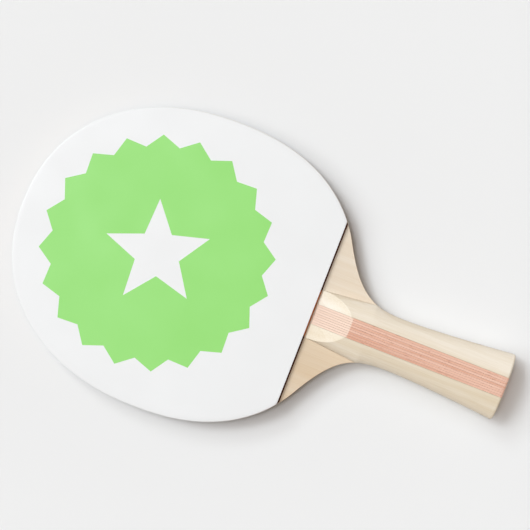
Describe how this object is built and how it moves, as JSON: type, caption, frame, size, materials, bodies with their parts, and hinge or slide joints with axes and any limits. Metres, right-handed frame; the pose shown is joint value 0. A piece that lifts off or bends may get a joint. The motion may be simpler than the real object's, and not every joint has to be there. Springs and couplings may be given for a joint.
{
  "type": "table tennis paddle",
  "caption": "Table tennis paddle: laminated wood blade, white rubber with a green starburst on one face, black rubber on the other, flared pale wood handle with a red stripe.",
  "frame": {"origin": "centre of the paddle's bounding box in X and Y, at the height of the back of the handle, on which the paddle rests", "axes": "+X from the blade's tip to the butt of the handle, +Z out of the printed white face, +Y across the paddle, to the right when the white face is seen with the handle towards the viewer"},
  "size_m": [0.2566, 0.1506, 0.0232],
  "materials": {
    "core_wood": "matte",
    "inner_wood": "matte",
    "face_wood": "satin",
    "handle_wood": "satin",
    "red_veneer": "satin",
    "pink_veneer": "satin",
    "white_rubber": "satin",
    "black_rubber": "satin",
    "green_ink": "satin",
    "sponge": "matte"
  },
  "bodies": {
    "root": {"blade_core_ply": "core_wood", "blade_front_inner_ply": "inner_wood", "blade_back_inner_ply": "inner_wood", "blade_front_outer_ply": "face_wood", "blade_back_outer_ply": "face_wood", "front_sponge": "sponge", "front_topsheet": "white_rubber", "back_sponge": "sponge", "back_topsheet": "black_rubber", "front_handle_block_left": "handle_wood", "front_handle_block_right": "handle_wood", "front_stripe_veneer_1": "red_veneer", "front_stripe_veneer_2": "pink_veneer", "front_stripe_veneer_3": "red_veneer", "front_stripe_veneer_4": "pink_veneer", "front_stripe_veneer_5": "red_veneer", "front_stripe_veneer_6": "pink_veneer", "front_stripe_veneer_7": "red_veneer", "front_stripe_veneer_8": "pink_veneer", "front_stripe_veneer_9": "red_veneer", "back_handle_block_left": "handle_wood", "back_handle_block_right": "handle_wood", "back_stripe_veneer_1": "red_veneer", "back_stripe_veneer_2": "pink_veneer", "back_stripe_veneer_3": "red_veneer", "back_stripe_veneer_4": "pink_veneer", "back_stripe_veneer_5": "red_veneer", "back_stripe_veneer_6": "pink_veneer", "back_stripe_veneer_7": "red_veneer", "back_stripe_veneer_8": "pink_veneer", "back_stripe_veneer_9": "red_veneer"}
  },
  "joints": []
}
